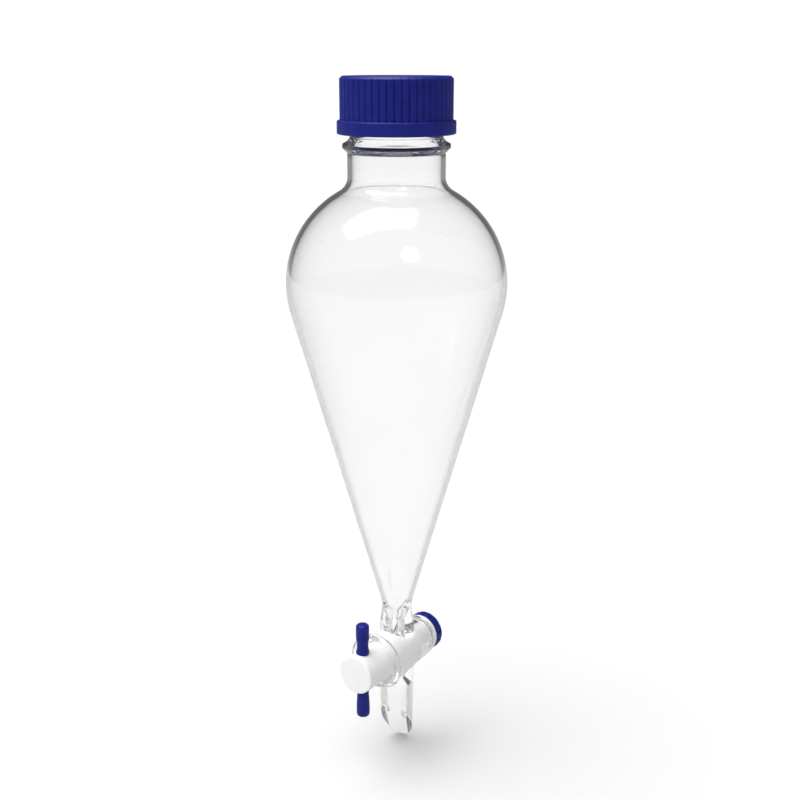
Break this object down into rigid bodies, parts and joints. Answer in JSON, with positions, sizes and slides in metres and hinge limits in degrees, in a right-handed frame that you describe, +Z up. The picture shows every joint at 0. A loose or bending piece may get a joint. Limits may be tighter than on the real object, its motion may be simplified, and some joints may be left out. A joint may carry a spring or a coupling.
{
  "type": "separatory funnel",
  "caption": "Pear-shaped clear glass separatory funnel with a ribbed blue screw cap, a tapered PTFE stopcock with a blue bar handle, and a bevelled delivery stem.",
  "frame": {"origin": "on the funnel's axis, level with the lowest point of the stem's bevelled tip", "axes": "+Z up along the funnel's axis, +Y along the stopcock's axis from the handle to the tension nut"},
  "size_m": [0.103, 0.103, 0.3352],
  "materials": {
    "glass": "clear polished borosilicate",
    "blue_plastic": "satin moulded polypropylene",
    "ptfe": "waxy turned PTFE",
    "silicone": "matt silicone",
    "black_rubber": "matt rubber"
  },
  "bodies": {
    "funnel": {"glass_body": "glass"},
    "plug": {"stopcock_plug": "ptfe", "handle": "blue_plastic", "thrust_washer": "ptfe"},
    "seal": {"o_ring": "black_rubber"},
    "nut": {"tension_nut": "blue_plastic"},
    "liner": {"liner_disc": "silicone", "liner_facing": "ptfe"},
    "cap": {"screw_cap": "blue_plastic"}
  },
  "joints": [
    {"name": "plug_turn", "type": "hinge", "parent": "funnel", "child": "plug", "pos_m": [0, 0, 0.0531], "axis": [0, 1, 0], "continuous": true},
    {"name": "nut_travel", "type": "slide", "parent": "plug", "child": "seal", "axis": [0, 1, 0], "range_m": [0, 0.0045]},
    {"name": "nut_turn", "type": "hinge", "parent": "seal", "child": "nut", "pos_m": [0, 0.0257, 0.0531], "axis": [0, 1, 0], "range_deg": [0, 1080]},
    {"name": "cap_lift", "type": "slide", "parent": "funnel", "child": "liner", "axis": [0, 0, 1], "range_m": [0, 0.008]},
    {"name": "cap_turn", "type": "hinge", "parent": "liner", "child": "cap", "pos_m": [0, 0, 0.3225], "axis": [0, 0, 1], "range_deg": [0, 720]}
  ],
  "couplings": [
    {"joint": "nut_turn", "follows": "nut_travel", "rad_per_m": 4188.8},
    {"joint": "cap_turn", "follows": "cap_lift", "rad_per_m": 1570.8}
  ]
}
